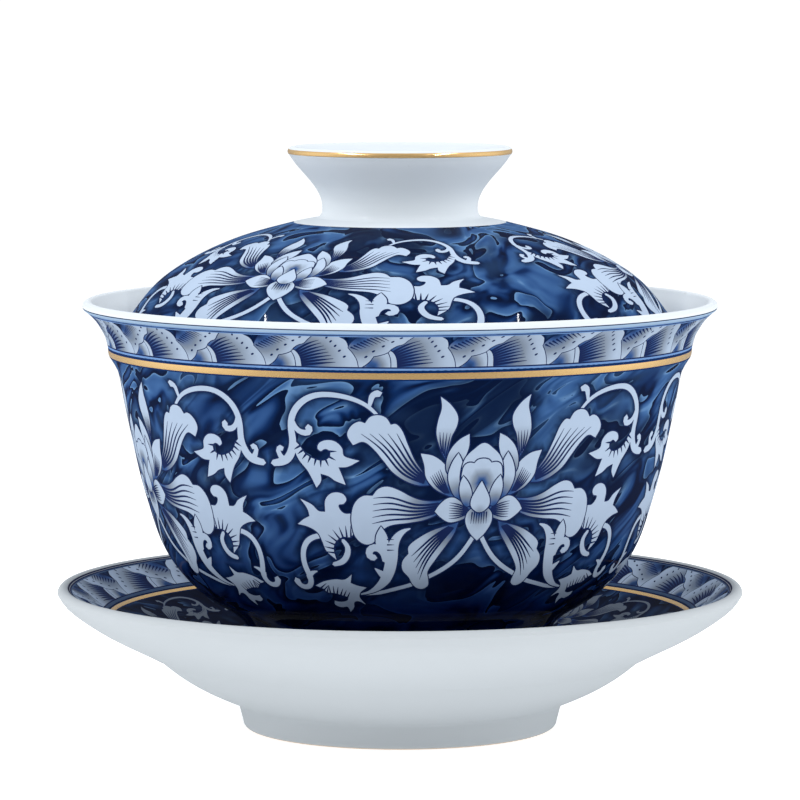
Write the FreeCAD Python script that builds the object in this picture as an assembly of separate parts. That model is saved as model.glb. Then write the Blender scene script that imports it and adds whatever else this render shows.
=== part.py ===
import FreeCAD, Part
import math
import os

# Covered tea bowl in blue and white porcelain: a saucer, a bowl that stands in the saucer's well, and a
# domed lid that rests inside the bowl's flared mouth. Every piece is turned about +Z. The origin is at the
# centre of the saucer's foot, on the table. All sizes are in millimetres.
#
# Each outline is a list of (radius, height) points in the order that keeps the clay on the left: out along
# the underside, up the outside, over the lip and back in along the upper or inner side. Saucer, bowl, lid
# and knob are each drawn from their own base, and the heights below set one on another.

# ---- driving dimensions ----
SAUCER_RADIUS = 55.3  # outermost point of the saucer's lip
SAUCER_FLOOR = 7.4  # height of the flat that the bowl stands on
MOUTH_RADIUS = 51.0  # outermost point of the bowl's lip
LID_RADIUS = 45.45  # outermost point of the lid's edge
KNOB_RADIUS = 18.0  # outermost point of the knob's flare
LID_CLEARANCE = 0.1  # gap left between the lid's edge and the bowl's wall
PRINT_DEPTH = 0.2  # underglaze transfer with the clear glaze over it, flush with the clay around it
GILT_DEPTH = 0.1  # gold paste let into the glaze
GILT_PROUD = 0.05  # and standing above it
LAYER_SAMPLES = 16  # points that carry the inner side of a layer
LID_SEARCH_STEP = 0.001  # how closely the lid's resting height is found

# ---- saucer ----
FOOT_CONTACT = (22.5, 24.4)  # inner and outer radius of the bare ring that touches the table
FOOT_ROUND = 1.0
BASE_RECESS = 3.6  # height of the underside inside the foot ring
SAUCER_LIP_ROUND = 1.0
SAUCER_LIP_HEIGHT = 22.05  # height of the outermost point
SAUCER_LIP_END = 125.0  # degrees round the lip where the flange starts

saucer_foot_wall = [(25.4, 1.0), (26.0, 3.3)]
saucer_foot_fillet = [(26.0, 3.3), (26.2, 3.95), (26.8, 4.35)]
saucer_under_well = [(26.8, 4.35), (31.3, 6.3), (35.7, 8.8), (39.3, 11.6)]
saucer_under_flange = [
    (39.3, 11.6), (43.6, 13.8), (48.6, 16.4), (52.4, 18.9), (54.6, 20.9), (SAUCER_RADIUS, SAUCER_LIP_HEIGHT),
]
saucer_border = [(53.4, 22.68), (50.4, 20.65), (47.45, 18.6)]  # printed part of the flange
saucer_gilt = [(47.2, 18.4), (46.6, 18.02)]
saucer_well = [(46.42, 17.91), (43.0, 16.1), (39.0, 14.0), (33.8, 11.2), (29.2, 9.05)]  # its printed part
saucer_seat = [(29.2, 9.05), (27.9, 8.4), (26.9, 7.7), (26.1, SAUCER_FLOOR)]

# ---- bowl, from its own foot ----
BOWL_FOOT_CONTACT = (21.5, 22.9)
BOWL_FOOT_ROUND = 0.7
BOWL_RECESS = 7.6
BOWL_LIP_ROUND = 0.85
BOWL_LIP_HEIGHT = 60.95
BOWL_LIP_START = -35.0  # degrees round the lip: white below the outermost point, above the collar's print
BOWL_LIP_END = 150.0
BOWL_FLOOR_RADIUS = 10.0  # flat middle of the inside
BOWL_FLOOR = 11.0

bowl_foot_corner = (23.6, 0.7)
bowl_wall = [  # printed from just above the foot's edge to just under the gilt band
    (23.65, 1.3), (23.8, 4.8), (24.15, 8.0), (25.4, 10.1), (28.0, 12.1), (31.0, 13.9), (33.8, 16.3),
    (36.3, 19.2), (38.6, 23.2), (40.25, 28.0), (41.95, 34.1), (43.35, 40.5), (44.65, 47.0), (45.25, 50.1),
    (45.7, 51.3), (46.3, 52.15),
]
bowl_gilt = [(46.4, 52.3), (46.85, 53.15)]
bowl_collar = [(46.92, 53.6), (47.1, 54.7), (47.45, 56.0), (48.1, 57.3), (49.0, 58.7), (49.95, 59.75)]
bowl_inside = [
    (47.8, 59.5), (46.4, 57.5), (45.35, 55.5), (44.8, 53.6), (43.5, 50.8), (42.5, 46.8), (41.1, 40.4),
    (39.6, 33.8), (37.5, 26.8), (34.7, 20.8), (30.6, 16.1), (25.0, 13.2), (17.5, 11.6),
]

# ---- lid, from the bottom of its own edge ----
LID_EDGE_ROUND = 0.85
LID_EDGE_END = 40.0  # degrees round the edge where the dome starts
LID_SEAT_RADIUS = 13.4  # flat on top where the knob is luted on
LID_SEAT = 19.65
LID_CEILING_RADIUS = 8.0  # flat middle of the underside
LID_CEILING = 17.5

lid_print = [
    (44.65, 2.15), (42.6, 4.95), (40.85, 7.25), (38.7, 9.5), (35.8, 11.65), (31.35, 14.15), (24.7, 16.85),
    (20.5, 18.05), (17.0, 18.95),
]
lid_underside = [
    (14.0, 17.0), (22.0, 15.3), (29.0, 12.8), (34.6, 9.8), (38.8, 6.6), (41.8, 3.3),
]

# ---- knob, from the lid's flat ----
KNOB_LIP_ROUND = 0.8
KNOB_LIP_HEIGHT = 10.6
KNOB_LIP_START = -48.0
KNOB_LIP_END = 140.0
KNOB_GILT = (-24.0, 34.0)  # degrees round the lip that are gilt
KNOB_BORE_RADIUS = 8.6  # inner edge of the knob's ring on the lid

knob_outside = [
    (LID_SEAT_RADIUS, 0.0), (12.75, 0.4), (12.5, 1.4), (12.6, 2.7), (13.15, 4.1), (14.15, 5.6), (15.7, 7.4),
    (17.0, 8.95),
]
knob_inside = [(15.0, 9.1), (13.2, 7.0), (11.4, 4.9), (10.0, 2.9), (9.1, 1.1), (KNOB_BORE_RADIUS, 0.0)]


def at(place):
    """A point of the outline plane."""
    return FreeCAD.Vector(place[0], 0, place[1])


def straight(start, end):
    return Part.LineSegment(at(start), at(end)).toShape()


def spline(places, first=None, last=None):
    """A smooth curve through the places, with its end directions if they are given."""
    curve = Part.BSplineCurve()
    tangents = {}
    if first and last:
        tangents = {"InitialTangent": at(first), "FinalTangent": at(last)}
    curve.interpolate(Points=[at(p) for p in places], **tangents)
    return curve


def between(curve, start, end):
    """The stretch of a curve from one of its own points to another."""
    return curve.toShape(curve.parameter(at(start)), curve.parameter(at(end)))


def on_round(centre, radius, degrees):
    turn = math.radians(degrees)
    return (centre[0] + radius * math.cos(turn), centre[1] + radius * math.sin(turn))


def along_round(degrees):
    """Direction of travel round an arc that turns anticlockwise."""
    turn = math.radians(degrees)
    return (-math.sin(turn), math.cos(turn))


def round_edge(centre, radius, start, end):
    """An arc of an outline, anticlockwise from one angle to another."""
    places = [on_round(centre, radius, a) for a in (start, (start + end) / 2, end)]
    return Part.Arc(*[at(p) for p in places]).toShape()


def turned(edges, close_on_axis=True):
    """The solid that an outline makes when it is turned about Z."""
    if close_on_axis:
        last, first = edges[-1].Vertexes[-1].Point, edges[0].Vertexes[0].Point
        edges = edges + [Part.LineSegment(last, first).toShape()]
    face = Part.Face(Part.Wire(edges))
    solid = face.revolve(FreeCAD.Vector(0, 0, 0), FreeCAD.Vector(0, 0, 1), 360)
    if solid.Volume < 0:
        solid.reverse()
    return solid


def offset_points(curve, start, end, depth):
    """Places at one depth under a stretch of curve, on the clay's side."""
    first, last = curve.parameter(at(start)), curve.parameter(at(end))
    places = []
    for i in range(LAYER_SAMPLES + 1):
        u = first + (last - first) * i / LAYER_SAMPLES
        point, way = curve.value(u), curve.tangent(u)[0]
        places.append((point.x - way.z * depth, point.z + way.x * depth))
    return places


def printed(curve, start, end):
    """A printed stretch: the edges of the recess it leaves in the clay, and the layer that fills it."""
    under = offset_points(curve, start, end, PRINT_DEPTH)
    ends = [curve.tangent(curve.parameter(at(p)))[0] for p in (start, end)]
    floor = spline(under, (ends[0].x, ends[0].z), (ends[1].x, ends[1].z)).toShape()
    step_in, step_out = straight(start, under[0]), straight(under[-1], end)
    layer = turned([step_in, floor, step_out, between(curve, start, end)], close_on_axis=False)
    return [step_in, floor, step_out], layer


def gilt_line(start, end):
    """A gilt band on a straight stretch of outline: its groove and the band."""
    length = math.dist(start, end)
    left = (-(end[1] - start[1]) / length, (end[0] - start[0]) / length)

    def shifted(place, depth):
        return (place[0] + left[0] * depth, place[1] + left[1] * depth)

    floor = [shifted(p, GILT_DEPTH) for p in (start, end)]
    top = [shifted(p, -GILT_PROUD) for p in (start, end)]
    groove = [straight(start, floor[0]), straight(*floor), straight(floor[1], end)]
    corners = [floor[0], floor[1], top[1], top[0], floor[0]]
    sides = [straight(a, b) for a, b in zip(corners, corners[1:])]
    return groove, turned(sides, close_on_axis=False)


def saucer():
    lip = (SAUCER_RADIUS - SAUCER_LIP_ROUND, SAUCER_LIP_HEIGHT)
    flange_start = on_round(lip, SAUCER_LIP_ROUND, SAUCER_LIP_END)
    inner, outer = FOOT_CONTACT
    base_edge = (inner - 1.5, BASE_RECESS)
    base_round = (inner - 0.4, BASE_RECESS - 1.0)
    foot = [
        straight((0, BASE_RECESS), base_edge),
        Part.Arc(at(base_edge), at((inner - 0.75, BASE_RECESS - 0.3)), at(base_round)).toShape(),
        straight(base_round, (inner, 0)),
        straight((inner, 0), (outer, 0)),
        round_edge((outer, FOOT_ROUND), FOOT_ROUND, -90, 0),
        straight(*saucer_foot_wall),
        Part.Arc(*[at(p) for p in saucer_foot_fillet]).toShape(),
    ]
    under = [spline(saucer_under_well).toShape(), spline(saucer_under_flange).toShape()]
    flange = spline([flange_start] + saucer_border + [saucer_gilt[0]])
    well = spline([saucer_gilt[1]] + saucer_well)
    border_recess, border = printed(flange, saucer_border[0], saucer_border[-1])
    well_recess, well_print = printed(well, saucer_well[0], saucer_well[-1])
    groove, gilt = gilt_line(*saucer_gilt)
    top = (
        [round_edge(lip, SAUCER_LIP_ROUND, 0, SAUCER_LIP_END)]
        + [between(flange, flange_start, saucer_border[0])]
        + border_recess
        + [between(flange, saucer_border[-1], saucer_gilt[0])]
        + groove
        + [between(well, saucer_gilt[1], saucer_well[0])]
        + well_recess
        + [spline(saucer_seat).toShape(), straight(saucer_seat[-1], (0, SAUCER_FLOOR))]
    )
    return {
        "saucer": turned(foot + under + top),
        "saucer_border_transfer": border,
        "saucer_well_transfer": well_print,
        "saucer_gilt_ring": gilt,
    }


def bowl_inner_wall():
    """The inside of the bowl, from the lip down to the flat floor, as one curve."""
    lip = (MOUTH_RADIUS - BOWL_LIP_ROUND, BOWL_LIP_HEIGHT)
    start = on_round(lip, BOWL_LIP_ROUND, BOWL_LIP_END)
    end = (BOWL_FLOOR_RADIUS, BOWL_FLOOR)
    return spline([start] + bowl_inside + [end], along_round(BOWL_LIP_END), (-1, 0)), start, end


def bowl():
    lip = (MOUTH_RADIUS - BOWL_LIP_ROUND, BOWL_LIP_HEIGHT)
    lip_start = on_round(lip, BOWL_LIP_ROUND, BOWL_LIP_START)
    inner, outer = BOWL_FOOT_CONTACT
    recess_edge = (inner - 1.6, BOWL_RECESS)
    recess_round = (inner - 0.6, BOWL_RECESS - 1.0)
    foot = [
        straight((0, BOWL_RECESS), recess_edge),
        Part.Arc(at(recess_edge), at((inner - 0.9, BOWL_RECESS - 0.3)), at(recess_round)).toShape(),
        straight(recess_round, (inner, 0)),
        straight((inner, 0), (outer, 0)),
        round_edge((outer, BOWL_FOOT_ROUND), BOWL_FOOT_ROUND, -90, 0),
        straight(bowl_foot_corner, bowl_wall[0]),
    ]
    wall = spline(bowl_wall + [bowl_gilt[0]])
    collar = spline([bowl_gilt[1]] + bowl_collar + [lip_start], (0.1, 1), along_round(BOWL_LIP_START))
    wall_recess, wall_print = printed(wall, bowl_wall[0], bowl_wall[-1])
    collar_recess, collar_print = printed(collar, bowl_collar[0], bowl_collar[-1])
    groove, gilt = gilt_line(*bowl_gilt)
    inside, inside_start, inside_end = bowl_inner_wall()
    outline = (
        foot
        + wall_recess
        + [between(wall, bowl_wall[-1], bowl_gilt[0])]
        + groove
        + [between(collar, bowl_gilt[1], bowl_collar[0])]
        + collar_recess
        + [between(collar, bowl_collar[-1], lip_start)]
        + [round_edge(lip, BOWL_LIP_ROUND, BOWL_LIP_START, BOWL_LIP_END)]
        + [between(inside, inside_start, inside_end), straight(inside_end, (0, BOWL_FLOOR))]
    )
    return {
        "bowl": turned(outline),
        "bowl_wall_transfer": wall_print,
        "bowl_collar_transfer": collar_print,
        "bowl_gilt_band": gilt,
    }


def lid_height_in_bowl():
    """How high in the bowl the lid comes to rest: its round edge stops one clearance short of the wall."""
    wall = bowl_inner_wall()[0].toShape()
    reach = LID_EDGE_ROUND + LID_CLEARANCE

    def clear(height):
        centre = Part.Vertex(at((LID_RADIUS - LID_EDGE_ROUND, height + LID_EDGE_ROUND)))
        return wall.distToShape(centre)[0] >= reach

    height, step = BOWL_LIP_HEIGHT, reach
    while step > LID_SEARCH_STEP:
        if clear(height - step):
            height -= step
        else:
            step /= 2
    return height


def lid():
    edge = (LID_RADIUS - LID_EDGE_ROUND, LID_EDGE_ROUND)
    dome_start = on_round(edge, LID_EDGE_ROUND, LID_EDGE_END)
    under_end = on_round(edge, LID_EDGE_ROUND, -180)
    seat_edge = (LID_SEAT_RADIUS, LID_SEAT)
    ceiling_edge = (LID_CEILING_RADIUS, LID_CEILING)
    dome = spline([dome_start] + lid_print + [seat_edge], along_round(LID_EDGE_END), (-1, 0.2))
    underside = spline([ceiling_edge] + lid_underside + [under_end], (1, 0), (0, -1))
    recess, print_layer = printed(dome, lid_print[0], lid_print[-1])
    outline = (
        [straight((0, LID_CEILING), ceiling_edge), underside.toShape()]
        + [round_edge(edge, LID_EDGE_ROUND, -180, LID_EDGE_END)]
        + [between(dome, dome_start, lid_print[0])]
        + recess
        + [between(dome, lid_print[-1], seat_edge), straight(seat_edge, (0, LID_SEAT))]
    )
    return {"lid": turned(outline), "lid_transfer": print_layer}


def knob():
    lip = (KNOB_RADIUS - KNOB_LIP_ROUND, KNOB_LIP_HEIGHT)
    lip_start = on_round(lip, KNOB_LIP_ROUND, KNOB_LIP_START)
    lip_end = on_round(lip, KNOB_LIP_ROUND, KNOB_LIP_END)
    gilt_ends = [on_round(lip, KNOB_LIP_ROUND, a) for a in KNOB_GILT]
    floor_ends = [on_round(lip, KNOB_LIP_ROUND - GILT_DEPTH, a) for a in KNOB_GILT]
    top_ends = [on_round(lip, KNOB_LIP_ROUND + GILT_PROUD, a) for a in KNOB_GILT]
    groove_floor = round_edge(lip, KNOB_LIP_ROUND - GILT_DEPTH, *KNOB_GILT)
    outside = spline(knob_outside + [lip_start], (-1, 0.1), along_round(KNOB_LIP_START))
    inside = spline([lip_end] + knob_inside, along_round(KNOB_LIP_END), (-0.5, -1))
    outline = [
        outside.toShape(),
        round_edge(lip, KNOB_LIP_ROUND, KNOB_LIP_START, KNOB_GILT[0]),
        straight(gilt_ends[0], floor_ends[0]),
        groove_floor,
        straight(floor_ends[1], gilt_ends[1]),
        round_edge(lip, KNOB_LIP_ROUND, KNOB_GILT[1], KNOB_LIP_END),
        inside.toShape(),
    ]
    gilt = turned([
        groove_floor,
        straight(floor_ends[1], top_ends[1]),
        round_edge(lip, KNOB_LIP_ROUND + GILT_PROUD, *KNOB_GILT),
        straight(top_ends[0], floor_ends[0]),
    ], close_on_axis=False)
    return {"lid_knob": turned(outline), "knob_gilt_rim": gilt}


def raised(pieces, height):
    for shape in pieces.values():
        shape.translate(FreeCAD.Vector(0, 0, height))
    return pieces


bowl_base = SAUCER_FLOOR
lid_base = bowl_base + lid_height_in_bowl()
knob_base = lid_base + LID_SEAT

nodes = {}
nodes.update(saucer())
nodes.update(raised(bowl(), bowl_base))
nodes.update(raised(lid(), lid_base))
nodes.update(raised(knob(), knob_base))

os.makedirs("parts", exist_ok=True)
for name, shape in nodes.items():
    shape.exportStep(f"parts/{name}.step")
    box = shape.optimalBoundingBox()
    print(f"{name}: valid {shape.isValid()}, volume {shape.Volume:.1f} mm3,",
          f"z {box.ZMin:.2f} to {box.ZMax:.2f}, radius {box.XMax:.2f}")
print(f"bowl stands at {bowl_base:.2f}, lid rests at {lid_base:.2f}, knob at {knob_base:.2f}")
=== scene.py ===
import math
import bpy
import numpy as np
from mathutils import Matrix, Vector, geometry, kdtree


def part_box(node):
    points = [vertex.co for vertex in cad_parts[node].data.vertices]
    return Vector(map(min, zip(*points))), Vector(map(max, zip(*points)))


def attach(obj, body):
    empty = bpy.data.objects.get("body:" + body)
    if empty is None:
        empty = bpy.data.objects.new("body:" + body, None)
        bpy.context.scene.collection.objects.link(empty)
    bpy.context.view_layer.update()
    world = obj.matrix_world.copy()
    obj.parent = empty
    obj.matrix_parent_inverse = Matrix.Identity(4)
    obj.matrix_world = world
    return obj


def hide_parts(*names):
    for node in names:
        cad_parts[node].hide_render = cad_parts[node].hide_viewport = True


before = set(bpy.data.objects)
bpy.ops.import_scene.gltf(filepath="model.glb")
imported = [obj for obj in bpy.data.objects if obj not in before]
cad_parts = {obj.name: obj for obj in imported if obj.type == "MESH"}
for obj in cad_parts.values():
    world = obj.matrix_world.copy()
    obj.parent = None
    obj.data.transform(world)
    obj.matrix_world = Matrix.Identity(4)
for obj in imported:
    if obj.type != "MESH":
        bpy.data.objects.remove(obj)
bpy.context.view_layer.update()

# Blue and white covered tea bowl. Outlines and patterns are in millimetres and become metres in the meshes.
mm = 0.001
scene = bpy.context.scene
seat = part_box("bowl")[0].z / mm  # heights at which the bowl, the lid and the knob start
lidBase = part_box("lid")[0].z / mm
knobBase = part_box("lid_knob")[0].z / mm


class Wire:  # an output socket that sums can be written with
    def __init__(self, maker, node, out=0):
        self.maker, self.node = maker, node
        self.socket = node.outputs[out] if len(node.outputs) else None

    def out(self, name):
        return Wire(self.maker, self.node, name)

    def math(self, operation, *values):
        return self.maker.math(operation, *values)

    def __add__(self, other):
        return self.math("ADD", self, other)

    def __sub__(self, other):
        return self.math("SUBTRACT", self, other)

    def __rsub__(self, other):
        return self.math("SUBTRACT", other, self)

    def __mul__(self, other):
        return self.math("MULTIPLY", self, other)

    def __truediv__(self, other):
        return self.math("DIVIDE", self, other)

    def __mod__(self, other):
        return self.math("MODULO", self, other)

    __radd__ = __add__
    __rmul__ = __mul__

    def power(self, other):
        return self.math("POWER", self, other)

    def clamp(self):
        return self.maker.add("ShaderNodeClamp", {}, {0: self})

    def floor(self):
        return self.math("FLOOR", self)


class Maker:  # puts nodes in one tree
    def __init__(self, tree):
        self.tree = tree

    def add(self, kind, settings=None, values=None, out=0):
        node = self.tree.nodes.new(kind)
        for name, value in (settings or {}).items():
            if name == "stops":
                ramp = node.color_ramp
                while len(ramp.elements) < len(value):
                    ramp.elements.new(1.0)
                for element, (place, colour) in zip(ramp.elements, value):
                    element.position, element.color = place, (*colour, 1)
            else:
                setattr(node, name, value)
        for key, value in (values or {}).items():
            if isinstance(value, Wire):
                self.tree.links.new(value.socket, node.inputs[key])
            else:
                node.inputs[key].default_value = value
        return Wire(self, node, out)

    def math(self, operation, *values):
        return self.add("ShaderNodeMath", {"operation": operation}, dict(enumerate(values)))

    def blend(self, mask, first, second):  # colours
        def colour(value):
            return value if isinstance(value, Wire) else (*value, 1)
        return self.add(
            "ShaderNodeMix", {"data_type": "RGBA"}, {0: mask, 6: colour(first), 7: colour(second)}, 2)

    def noise(self, place, scale, detail=2.0, out=0, **more):
        values = {"Vector": place, "Scale": scale, "Detail": detail, **more}
        return self.add("ShaderNodeTexNoise", {}, values, out)

    def parts(self, vector):
        found = self.add("ShaderNodeSeparateXYZ", {}, {0: vector})
        return found.out("X"), found.out("Y"), found.out("Z")

    def vector(self, operation, first, second):
        key = 3 if operation == "SCALE" else 1
        return self.add("ShaderNodeVectorMath", {"operation": operation}, {0: first, key: second})


def runOf(points):  # the distance along a line to each of its points
    return np.r_[0, np.cumsum(np.hypot(*np.diff(points, axis=0).T))]


def spaced(points, spacing):  # evenly spaced places on a smooth curve through the points
    points = np.array(points, float)
    knots = runOf(points)
    count, gaps = len(points), np.diff(knots)
    system, bends = np.eye(count), np.zeros((count, 2))
    for i in range(1, count - 1):
        system[i, i - 1:i + 2] = gaps[i - 1], 2 * (gaps[i - 1] + gaps[i]), gaps[i]
        bends[i] = 6 * ((points[i + 1] - points[i]) / gaps[i] - (points[i] - points[i - 1]) / gaps[i - 1])
    second = np.linalg.solve(system, bends)
    steps = max(2, int(round(knots[-1] / spacing)))
    places = []
    for t in np.linspace(0, knots[-1], steps + 1):
        i = min(np.searchsorted(knots, t, side="right") - 1, count - 2)
        a, b, gap = knots[i + 1] - t, t - knots[i], gaps[i]
        places.append(
            second[i] * a ** 3 / (6 * gap) + second[i + 1] * b ** 3 / (6 * gap)
            + (points[i] / gap - second[i] * gap / 6) * a
            + (points[i + 1] / gap - second[i + 1] * gap / 6) * b)
    return np.array(places)


def arc(centre, radius, start, end, step=12):
    turns = np.radians(np.linspace(start, end, max(3, int(abs(end - start) / step) + 1)))
    return np.c_[centre[0] + radius * np.cos(turns), centre[1] + radius * np.sin(turns)]


def outwards(places):  # unit normals of an outline that has the clay on its left
    way = np.gradient(places, axis=0)
    way /= np.hypot(*way.T)[:, None]
    return np.c_[way[:, 1], -way[:, 0]]


def stretchOf(places, start, end):  # the part of a sampled curve between two of its points
    first = np.argmin(np.hypot(*(places - start).T))
    last = np.argmin(np.hypot(*(places - end).T))
    return places[first:last + 1]


def recess(places, line):  # the part along a printed line, sunk for the print that fills it
    part = stretchOf(places, line[0], line[-1])
    return part - outwards(part) * layer["printDepth"]


# Outlines are (radius, height) points, each piece from its own base, with the clay on the left.
layer = {"printDepth": 0.2, "giltDepth": 0.1, "giltProud": 0.05, "spacing": 0.25, "weld": 2e-7}

saucerShape = {
    "footWall": [(25.4, 1), (26, 3.3)],
    "footFillet": [(26, 3.3), (26.2, 3.95), (26.8, 4.35)],
    "underWell": [(26.8, 4.35), (31.3, 6.3), (35.7, 8.8), (39.3, 11.6)],
    "underFlange": [(39.3, 11.6), (43.6, 13.8), (48.6, 16.4), (52.4, 18.9), (54.6, 20.9), (55.3, 22.05)],
    "border": [(53.4, 22.68), (50.4, 20.65), (47.45, 18.6)],
    "gilt": [(47.2, 18.4), (46.6, 18.02)],
    "well": [(46.42, 17.91), (43, 16.1), (39, 14), (33.8, 11.2), (29.2, 9.05)],
    "seat": [(29.2, 9.05), (27.9, 8.4), (26.9, 7.7), (26.1, 7.4)],
    "lip": ((54.3, 22.05), 1, 125),
}
bowlShape = {
    "wall": [
        (23.65, 1.3), (23.8, 4.8), (24.15, 8), (25.4, 10.1), (28, 12.1), (31, 13.9), (33.8, 16.3),
        (36.3, 19.2), (38.6, 23.2), (40.25, 28), (41.95, 34.1), (43.35, 40.5), (44.65, 47),
        (45.25, 50.1), (45.7, 51.3), (46.3, 52.15), (46.72, 52.85),
    ],
    "gilt": [(46.8, 53.05), (46.93, 54)],
    "collar": [(46.97, 54.4), (47.15, 55.2), (47.5, 56.3), (48.15, 57.5), (49.1, 58.9), (50.35, 60.1)],
    "inside": [
        (47.8, 59.5), (46.4, 57.5), (45.35, 55.5), (44.8, 53.6), (43.5, 50.8), (42.5, 46.8), (41.1, 40.4),
        (39.6, 33.8), (37.5, 26.8), (34.7, 20.8), (30.6, 16.1), (25, 13.2), (17.5, 11.6), (10, 11),
    ],
    "lip": ((50.15, 60.95), 0.85, -35, 150),
}
lidShape = {
    "print": [
        (44.65, 2.15), (42.6, 4.95), (40.85, 7.25), (38.7, 9.5), (35.8, 11.65), (31.35, 14.15),
        (24.7, 16.85), (20.5, 18.05), (17, 18.95),
    ],
    "seat": (13.4, 19.65),
    "underside": [
        (8, 17.5), (14, 17), (22, 15.3), (29, 12.8), (34.6, 9.8), (38.8, 6.6), (41.8, 3.3),
        (43.75, 0.85),
    ],
    "edge": ((44.6, 0.85), 0.85, -180, 40),
}
knobShape = {
    "outside": [(13.4, 0), (12.75, 0.4), (12.5, 1.4), (12.6, 2.7), (13.15, 4.1), (14.15, 5.6),
                (15.7, 7.4), (17, 8.95)],
    "inside": [(15, 9.1), (13.2, 7), (11.4, 4.9), (10, 2.9), (9.1, 1.1), (8.6, 0)],
    "lip": ((17.2, 10.6), 0.8, -48, 140),
    "giltTurn": (-24, 34),
}


def giltGroove(start, end):
    line = np.array([start, end])
    return np.vstack([line[:1], line - outwards(line) * layer["giltDepth"], line[1:]])


def saucerOutline():
    s = saucerShape
    centre, radius, stop = s["lip"]
    lip = arc(centre, radius, 0, stop)
    flange = spaced([lip[-1], *s["border"], s["gilt"][0]], layer["spacing"])
    well = spaced([s["gilt"][1], *s["well"]], layer["spacing"])
    return np.vstack([
        [(0, 3.6), (12, 3.6), (21.0, 3.6)], arc((21.0, 2.6), 1.0, 90, 26), [(22.3, 0.5), (22.5, 0)],
        arc((24.4, 1.0), 1.0, -90, 0), s["footWall"], spaced(s["footFillet"], 0.2),
        spaced(s["underWell"], 1), spaced(s["underFlange"], 1), lip,
        stretchOf(flange, lip[-1], s["border"][0]), recess(flange, s["border"]),
        stretchOf(flange, s["border"][-1], s["gilt"][0]), giltGroove(*s["gilt"]),
        stretchOf(well, s["gilt"][1], s["well"][0]), recess(well, s["well"]), spaced(s["seat"], 0.4),
        [(14, 7.4), (0, 7.4)]])


def bowlOutline():
    s = bowlShape
    centre, radius, start, stop = s["lip"]
    lip = arc(centre, radius, start, stop)
    wall = spaced([*s["wall"], s["gilt"][0]], layer["spacing"])
    collar = spaced([s["gilt"][1], *s["collar"], lip[0]], layer["spacing"])
    return np.vstack([
        [(0, 7.6), (12, 7.6), (19.9, 7.6)], arc((19.9, 6.6), 1.0, 90, 0), [(21.5, 0)],
        arc((22.9, 0.7), 0.7, -90, 0), recess(wall, s["wall"]),
        stretchOf(wall, s["wall"][-1], s["gilt"][0]), giltGroove(*s["gilt"]),
        stretchOf(collar, s["gilt"][1], s["collar"][0]), recess(collar, s["collar"]),
        stretchOf(collar, s["collar"][-1], lip[0]), lip, spaced([lip[-1], *s["inside"]], 1),
        [(0, 11.0)]]) + (0, seat)


def lidOutline():
    s = lidShape
    edge = arc(*s["edge"])
    dome = spaced([edge[-1], *s["print"], s["seat"]], layer["spacing"])
    return np.vstack([
        [(0, 17.5)], spaced(s["underside"], 1), edge, stretchOf(dome, edge[-1], s["print"][0]),
        recess(dome, s["print"]), stretchOf(dome, s["print"][-1], s["seat"]),
        [(10, 19.65), (0, 19.65)]]) + (0, lidBase)


def knobOutline():
    s = knobShape
    centre, radius, start, stop = s["lip"]
    low, high = s["giltTurn"]
    before, after = arc(centre, radius, start, low), arc(centre, radius, high, stop)
    sunk = arc(centre, radius - layer["giltDepth"], low, high, 6)
    return np.vstack([
        spaced([*s["outside"], before[0]], 0.5), before, sunk, after,
        spaced([after[-1], *s["inside"]], 0.5), [s["outside"][0]]]) + (0, knobBase)


def giltBand(start, end, base):  # a gilt line with a rounded back
    line = np.array([start, end])
    right = outwards(line)
    across = np.linspace(0, 1, 9)[:, None]
    lift = right[:1] * layer["giltProud"] * np.sin(math.pi * across) ** 0.5
    back = line[:1] + (line[1:] - line[:1]) * across + lift
    floor = (line - right * layer["giltDepth"])[::-1]
    return np.vstack([back, floor, back[:1]]) + (0, base)


def knobGilt():
    centre, radius, _, _ = knobShape["lip"]
    low, high = knobShape["giltTurn"]
    back = arc(centre, radius, low, high, 4)
    lift = np.sin(np.linspace(0, math.pi, len(back)))[:, None] ** 0.5 * layer["giltProud"]
    floor = arc(centre, radius - layer["giltDepth"], high, low, 8)
    return np.vstack([back + outwards(back) * lift, floor, back[:1]]) + (0, knobBase)


def newTree(name, inputs):
    tree = bpy.data.node_groups.new(name, "GeometryNodeTree")
    tree.interface.new_socket(name="Geometry", in_out="INPUT", socket_type="NodeSocketGeometry")
    tree.interface.new_socket(name="Geometry", in_out="OUTPUT", socket_type="NodeSocketGeometry")
    for label, kind in inputs.items():
        tree.interface.new_socket(name=label, in_out="INPUT", socket_type="NodeSocket" + kind)
    make = Maker(tree)
    return tree, make, make.add("NodeGroupInput")


def finishTree(make, group, mesh):
    dressed = make.add(
        "GeometryNodeSetMaterial", {}, {"Geometry": mesh, "Material": group.out("Material")})
    make.add("NodeGroupOutput", {}, {0: dressed})


def turningTree():
    tree, make, group = newTree("turning", {
        "Points": "Int", "Segments": "Int", "Material": "Material"})
    points, segments = group.out("Points"), group.out("Segments")
    grid = make.add("GeometryNodeMeshGrid", {}, {"Vertices X": segments + 1, "Vertices Y": points})
    index = make.add("GeometryNodeInputIndex")
    row = index % points
    turn = (index / points).floor() / segments * (2 * math.pi)
    place = make.add(
        "GeometryNodeSampleIndex", {"data_type": "FLOAT_VECTOR"},
        {"Geometry": group, "Value": make.add("GeometryNodeInputPosition"), "Index": row})
    radius, _, height = make.parts(place)
    swept = make.add("ShaderNodeCombineXYZ", {}, {
        "X": radius * turn.math("SINE", turn), "Y": radius * turn.math("COSINE", turn) * -1.0,
        "Z": height})
    moved = make.add("GeometryNodeSetPosition", {}, {"Geometry": grid, "Position": swept})
    welded = make.add("GeometryNodeMergeByDistance", {}, {"Geometry": moved, "Distance": layer["weld"]})
    finishTree(make, group, welded)
    return tree


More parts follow.
